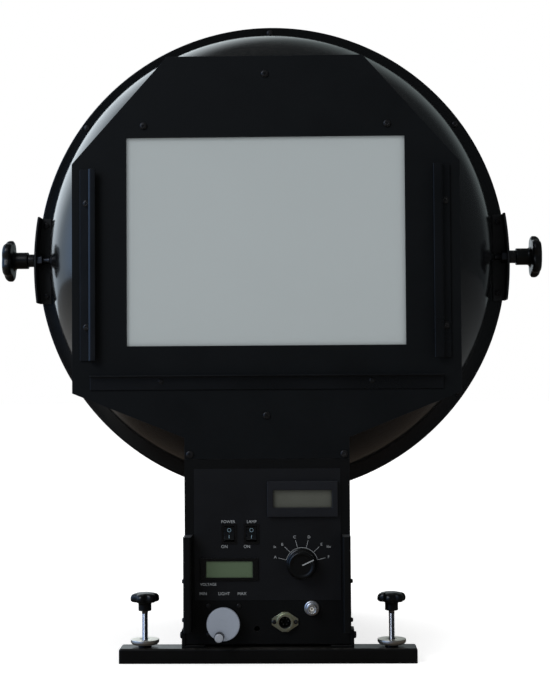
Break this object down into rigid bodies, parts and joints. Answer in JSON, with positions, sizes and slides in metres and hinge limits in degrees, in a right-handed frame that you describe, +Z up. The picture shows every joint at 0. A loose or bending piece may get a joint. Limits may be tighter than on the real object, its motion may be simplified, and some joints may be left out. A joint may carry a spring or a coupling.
{
  "type": "integrating sphere light source",
  "caption": "Free-standing integrating sphere light source with a lit window for transparent test charts, a control box below it and levelling screws.",
  "frame": {"origin": "on the floor under the centre of the sphere, in the plane where the two half shells meet", "axes": "+Z up, the lit window and the control panel face -Y, +X is to the right of a person who faces the window"},
  "size_m": [0.616, 0.5016, 0.69],
  "materials": {
    "gloss_black_shell": "gloss black lacquer on a spun shell",
    "matt_black_sheet": "matt black powder coat",
    "black_screws": "blackened pan heads",
    "opal_sheet": "even opal sheet, slightly glossy",
    "bright_steel": "bright plated and turned steel",
    "black_plastic": "black moulded plastic with a soft sheen",
    "grey_plastic": "grey moulded plastic",
    "printed_foil": "dark blue-black printed foil",
    "display_glass": "grey-green display glass",
    "socket_brass": "dull plated brass",
    "plated_jack": "plated metal with a white insulator",
    "bare_aluminium": "bare turned aluminium",
    "lamp_glass": "clear lamp glass",
    "core_steel": "laminated core",
    "green_board": "green circuit board"
  },
  "bodies": {
    "stand": {"front_hemisphere": "gloss_black_shell", "rear_hemisphere": "gloss_black_shell", "front_plate": "matt_black_sheet", "port_frame": "matt_black_sheet", "plate_standoffs": "matt_black_sheet", "chart_rail_left": "matt_black_sheet", "chart_rail_right": "matt_black_sheet", "chart_ledge": "matt_black_sheet", "side_bracket_left": "matt_black_sheet", "side_bracket_right": "matt_black_sheet", "enclosure": "matt_black_sheet", "front_panel": "matt_black_sheet", "rear_cover": "matt_black_sheet", "panel_guards": "matt_black_sheet", "foot_brackets": "matt_black_sheet", "front_base_bar": "matt_black_sheet", "rear_foot": "matt_black_sheet", "sphere_cradle": "matt_black_sheet", "flange_screws": "black_screws", "plate_screws": "black_screws", "case_screws": "black_screws", "opal_diffuser": "opal_sheet", "stud_nuts": "bright_steel", "switch_frames": "black_plastic", "display_bezel_lower": "black_plastic", "mains_inlet": "black_plastic", "display_bezel_upper": "grey_plastic", "panel_foil": "printed_foil", "display_glass_upper": "display_glass", "display_glass_lower": "display_glass", "round_socket": "socket_brass", "coax_jack": "plated_jack", "selector_switch": "bare_aluminium", "dial_potentiometer": "bare_aluminium", "lamp_holders": "bare_aluminium", "light_sensor": "bare_aluminium", "lamps": "lamp_glass", "transformer": "core_steel", "driver_board": "green_board"},
    "left_rocker": {"rocker_left": "black_plastic"},
    "right_rocker": {"rocker_right": "black_plastic"},
    "selector": {"selector_shaft": "bright_steel", "selector_knob": "black_plastic"},
    "dial": {"dial_shaft": "bright_steel", "crank_dial": "grey_plastic"},
    "handle": {"crank_handle": "black_plastic"},
    "left_foot": {"levelling_foot_left": "bright_steel"},
    "left_screw": {"levelling_screw_left": "bright_steel", "star_grip_left": "black_plastic"},
    "left_nut": {"lock_nut_left": "bright_steel"},
    "right_foot": {"levelling_foot_right": "bright_steel"},
    "right_screw": {"levelling_screw_right": "bright_steel", "star_grip_right": "black_plastic"},
    "right_nut": {"lock_nut_right": "bright_steel"},
    "left_bush": {"side_bush_left": "bright_steel"},
    "left_knob": {"side_knob_left": "black_plastic", "side_stud_left": "bright_steel"},
    "right_bush": {"side_bush_right": "bright_steel"},
    "right_knob": {"side_knob_right": "black_plastic", "side_stud_right": "bright_steel"}
  },
  "joints": [
    {"name": "left_rocker_tilt", "type": "hinge", "parent": "stand", "child": "left_rocker", "pos_m": [-0.038, -0.222, 0.1274], "axis": [1, 0, 0], "range_deg": [0, 20]},
    {"name": "right_rocker_tilt", "type": "hinge", "parent": "stand", "child": "right_rocker", "pos_m": [-0.0157, -0.222, 0.1274], "axis": [1, 0, 0], "range_deg": [0, 20]},
    {"name": "selector_turn", "type": "hinge", "parent": "stand", "child": "selector", "pos_m": [0.0343, -0.2234, 0.0975], "axis": [0, -1, 0], "range_deg": [0, 139]},
    {"name": "dial_turn", "type": "hinge", "parent": "stand", "child": "dial", "pos_m": [-0.0439, -0.2234, 0.03935], "axis": [0, 1, 0], "range_deg": [0, 3600]},
    {"name": "handle_spin", "type": "hinge", "parent": "dial", "child": "handle", "pos_m": [-0.04738, -0.24, 0.02797], "axis": [0, -1, 0], "continuous": true},
    {"name": "left_foot_slide", "type": "slide", "parent": "stand", "child": "left_foot", "axis": [0, 0, -1], "range_m": [0, 0.018]},
    {"name": "left_screw_turn", "type": "hinge", "parent": "left_foot", "child": "left_screw", "pos_m": [-0.12325, -0.216, 0.04], "axis": [0, 0, -1], "range_deg": [0, 6540]},
    {"name": "left_nut_turn", "type": "hinge", "parent": "stand", "child": "left_nut", "pos_m": [-0.12325, -0.216, 0.0197], "axis": [0, 0, 1], "range_deg": [0, 360]},
    {"name": "left_bush_slide", "type": "slide", "parent": "stand", "child": "left_bush", "axis": [-1, 0, 0], "range_m": [0, 0.005]},
    {"name": "left_knob_turn", "type": "hinge", "parent": "left_bush", "child": "left_knob", "pos_m": [-0.285, -0.015, 0.42], "axis": [-1, 0, 0], "range_deg": [0, 1500]},
    {"name": "right_foot_slide", "type": "slide", "parent": "stand", "child": "right_foot", "axis": [0, 0, -1], "range_m": [0, 0.018]},
    {"name": "right_screw_turn", "type": "hinge", "parent": "right_foot", "child": "right_screw", "pos_m": [0.12325, -0.216, 0.04], "axis": [0, 0, -1], "range_deg": [0, 6540]},
    {"name": "right_nut_turn", "type": "hinge", "parent": "stand", "child": "right_nut", "pos_m": [0.12325, -0.216, 0.0197], "axis": [0, 0, 1], "range_deg": [0, 360]},
    {"name": "right_bush_slide", "type": "slide", "parent": "stand", "child": "right_bush", "axis": [1, 0, 0], "range_m": [0, 0.005]},
    {"name": "right_knob_turn", "type": "hinge", "parent": "right_bush", "child": "right_knob", "pos_m": [0.285, -0.015, 0.42], "axis": [1, 0, 0], "range_deg": [0, 1500]}
  ],
  "couplings": [
    {"joint": "left_screw_turn", "follows": "left_foot_slide", "rad_per_m": 6283.2},
    {"joint": "left_knob_turn", "follows": "left_bush_slide", "rad_per_m": 5026.5},
    {"joint": "right_screw_turn", "follows": "right_foot_slide", "rad_per_m": 6283.2},
    {"joint": "right_knob_turn", "follows": "right_bush_slide", "rad_per_m": 5026.5}
  ]
}
